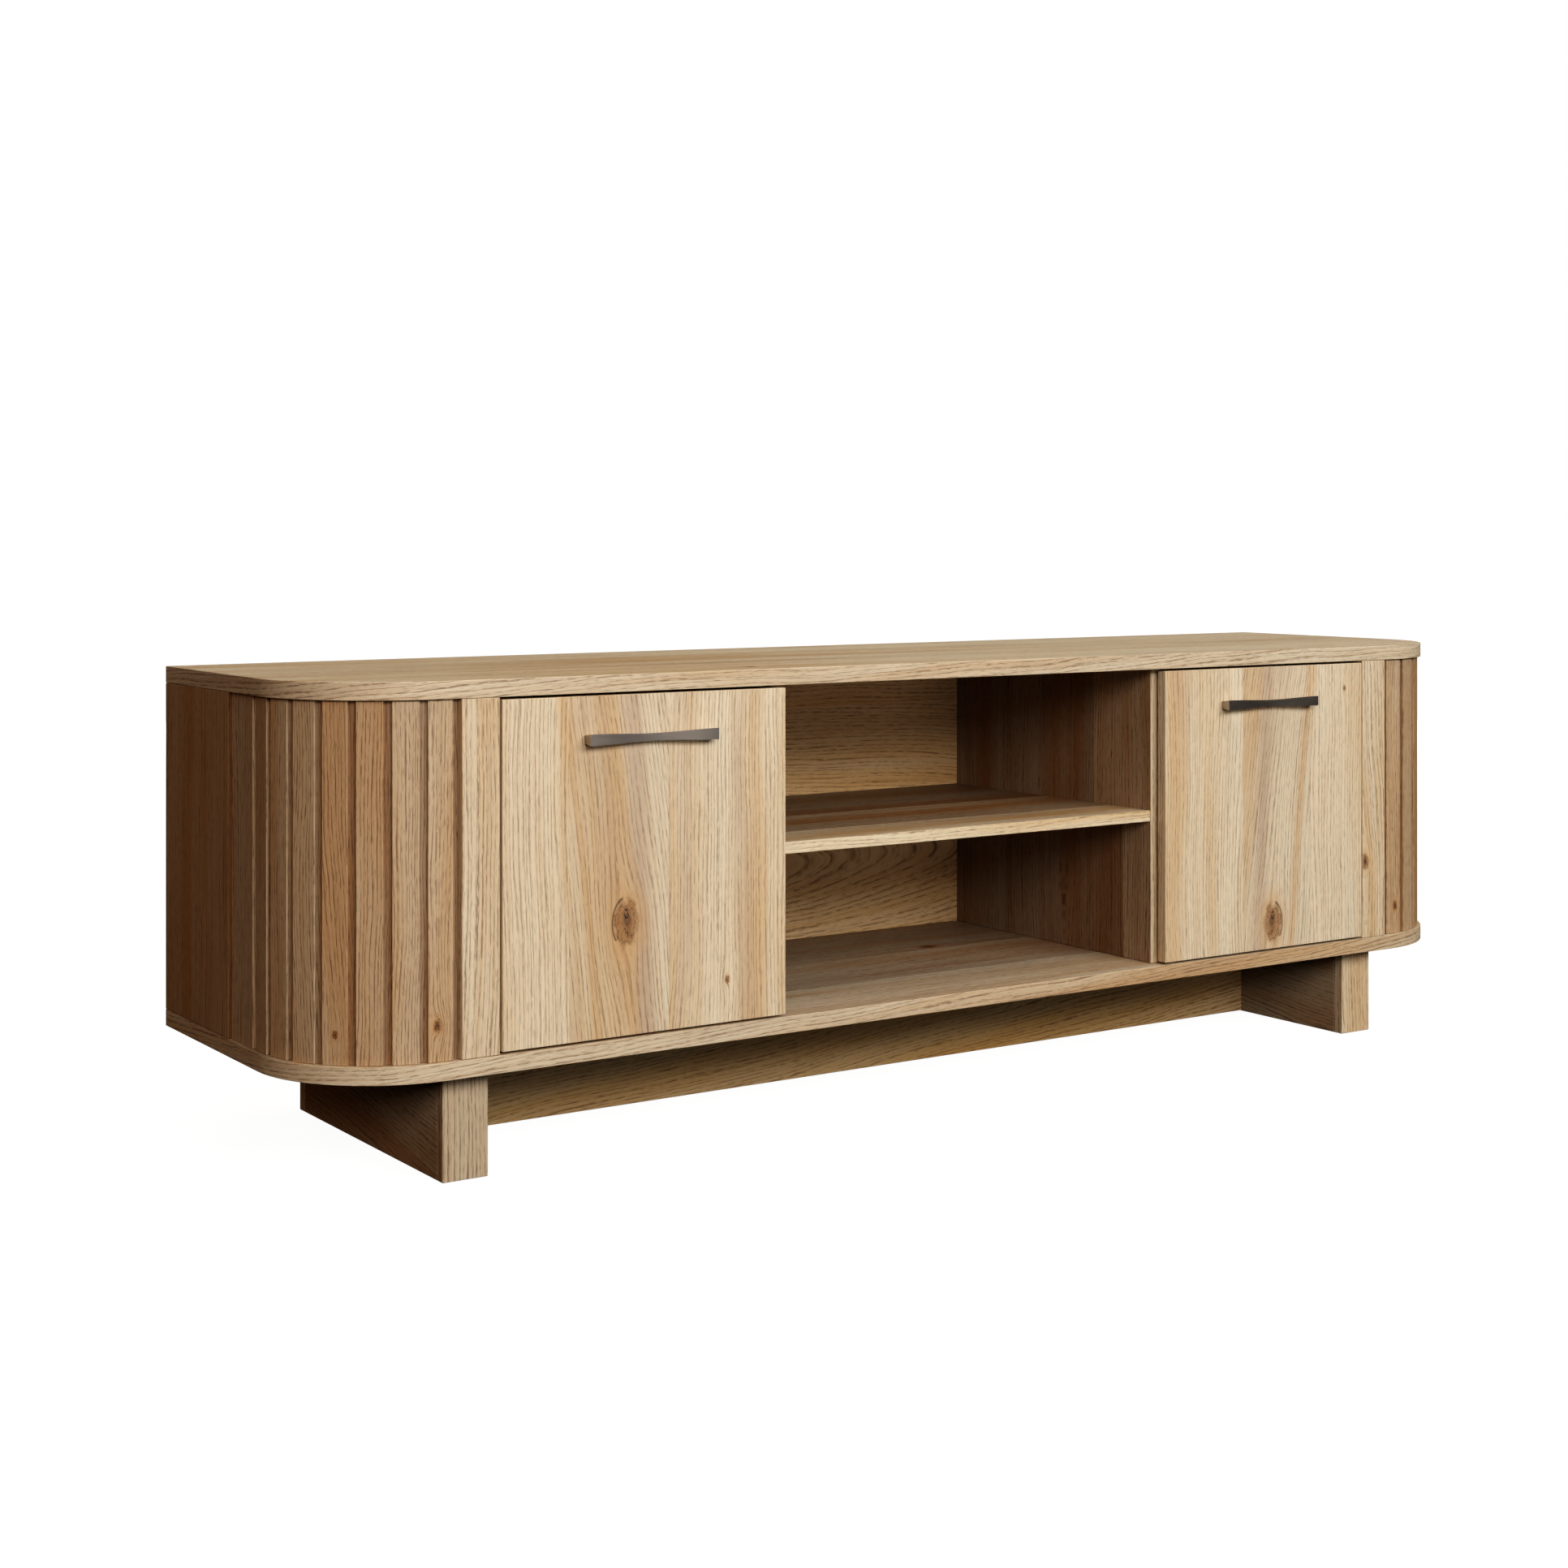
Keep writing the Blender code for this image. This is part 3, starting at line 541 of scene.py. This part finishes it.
# ---- studio ---------------------------------------------------------------------------------
CAMERA_AT = (-2.0400, -2.7933, 0.7770)
CAMERA_YAW = radians(-33.76)
LENS_MM, SENSOR_MM = 54.53, 36.0
SHIFT_DOWN = -0.1587
VIEW_END = 200.0
SKY_TINT, SKY_STRENGTH = (1.0, 0.62, 0.38), 0.065
SKY_DARK, SKY_FULL = -0.15, 0.80       # height of the view's direction, 0 is level
FLOOR_SIZE, FLOOR_DROP = 120.0, 0.0005
FLOOR_SHADOWED_GLOW, FLOOR_FAR = 0.95, 1.05     # floor's glow under the cabinet, dimmed there as a painted shadow, and far off
FLOOR_FADE = (1.2, 4.0)                # the painted shadow fades out from here to there, in metres from the middle
TONE_CURVE = ((0.02, 0.0105), (0.06, 0.041), (0.15, 0.127), (0.35, 0.34), (0.70, 0.70))
AIM_HEIGHT = 0.3                       # where the lights point, over the middle

# name, azimuth to the right of the front and elevation in degrees, distance, size in
# metres, watts, colour, and whether gloss mirrors it
SOFTBOXES = (
    ("key", 18, 26, 7.0, (4.2, 2.2), 260, (1.0, 1.0, 1.0), True),
    ("fill", -21, 22, 7.0, (3.6, 2.0), 225, (1.0, 0.96, 0.92), True),
    ("low", 4, 4, 7.0, (3.6, 0.9), 36, (1.0, 0.95, 0.88), True),
    ("glow", -55, 18, 7.0, (3.0, 2.5), 60, (1.0, 0.58, 0.34), False),
    ("back", 174, 7, 7.0, (1.8, 1.5), 220, (1.0, 0.97, 0.93), False),
    ("back_right", 122, 10, 7.0, (3.0, 2.0), 200, (1.0, 0.97, 0.93), False),
    ("overhead", 30, 78, 5.0, (4.5, 3.0), 104, (1.0, 0.96, 0.90), True),
)


def add_camera():
    data = bpy.data.cameras.new("camera")
    data.lens, data.sensor_width, data.shift_y = LENS_MM, SENSOR_MM, SHIFT_DOWN
    data.clip_end = VIEW_END
    camera = bpy.data.objects.new("camera", data)
    camera.location = CAMERA_AT
    camera.rotation_euler = (pi / 2, 0.0, CAMERA_YAW)
    bpy.context.scene.collection.objects.link(camera)
    bpy.context.scene.camera = camera


def add_softbox(name, azimuth, elevation, distance, size, power, colour, shine):
    """Area light aimed at the cabinet."""
    turn, rise = radians(azimuth), radians(elevation)
    aim = Vector((0.0, 0.0, AIM_HEIGHT))
    away = Vector((sin(turn) * cos(rise), -cos(turn) * cos(rise), sin(rise)))
    data = bpy.data.lights.new(name, "AREA")
    data.shape = "RECTANGLE"
    data.size, data.size_y = size
    data.energy, data.color = power, colour
    light = bpy.data.objects.new(name, data)
    light.visible_glossy = shine
    light.location = aim + away * distance
    light.rotation_euler = away.to_track_quat("Z", "Y").to_euler()
    bpy.context.scene.collection.objects.link(light)


def add_floor():
    """Pale floor, close to white with a painted soft shadow under the cabinet, that neither
    lights the cabinet nor shows in its gloss.
    """
    bpy.ops.mesh.primitive_plane_add(size=FLOOR_SIZE, location=(0, 0, -FLOOR_DROP))
    floor = bpy.context.object
    floor.name = "studio_floor"
    g = Graph("studio_floor")
    (x, y, _), _ = g.position()
    # painted shadow: the floor glows less near the middle, under the cabinet
    glow = ((x * x + y * y) ** 0.5).step(*FLOOR_FADE).pick(FLOOR_SHADOWED_GLOW, FLOOR_FAR)
    g.shader.inputs["Base Color"].default_value = (0.15, 0.15, 0.15, 1)
    g.shader.inputs["Roughness"].default_value = 0.9
    g.shader.inputs["Specular IOR Level"].default_value = 0.0
    g.shader.inputs["Emission Color"].default_value = (1, 1, 1, 1)
    g.put(glow, g.shader.inputs["Emission Strength"])
    floor.data.materials.append(g.material)
    floor.visible_diffuse = False
    floor.visible_glossy = False


def add_world():
    """White to the camera; a soft warm sky, dark below the horizon, to everything else."""
    world = bpy.data.worlds.new("studio")
    bpy.context.scene.world = world
    world.use_nodes = True
    tree = world.node_tree
    new, link = tree.nodes.new, tree.links.new
    coordinate, split = new("ShaderNodeTexCoord"), new("ShaderNodeSeparateXYZ")
    link(coordinate.outputs["Generated"], split.inputs[0])
    sky = new("ShaderNodeMapRange")
    sky.inputs["From Min"].default_value = SKY_DARK
    sky.inputs["From Max"].default_value = SKY_FULL
    sky.inputs["To Max"].default_value = SKY_STRENGTH
    link(split.outputs["Z"], sky.inputs["Value"])
    path, seen = new("ShaderNodeLightPath"), new("ShaderNodeMath")
    seen.operation = "MAXIMUM"
    link(path.outputs["Is Camera Ray"], seen.inputs[0])
    link(sky.outputs["Result"], seen.inputs[1])
    tint = new("ShaderNodeMix")
    tint.data_type = "RGBA"
    tint.inputs[MIX_A].default_value = (*SKY_TINT, 1)
    tint.inputs[MIX_B].default_value = (1, 1, 1, 1)
    link(path.outputs["Is Camera Ray"], tint.inputs[MIX_FACTOR])
    background = tree.nodes["Background"]
    link(tint.outputs[MIX_RESULT], background.inputs["Color"])
    link(seen.outputs[0], background.inputs["Strength"])


def deepen_shadows():
    """A soft toe in the tone curve, as in a studio photograph."""
    view = bpy.context.scene.view_settings
    view.view_transform = "Standard"
    view.use_curve_mapping = True
    for given, shown in TONE_CURVE:
        view.curve_mapping.curves[3].points.new(given, shown)
    view.curve_mapping.update()


add_camera()
add_floor()
add_world()
for softbox in SOFTBOXES:
    add_softbox(*softbox)
deepen_shadows()
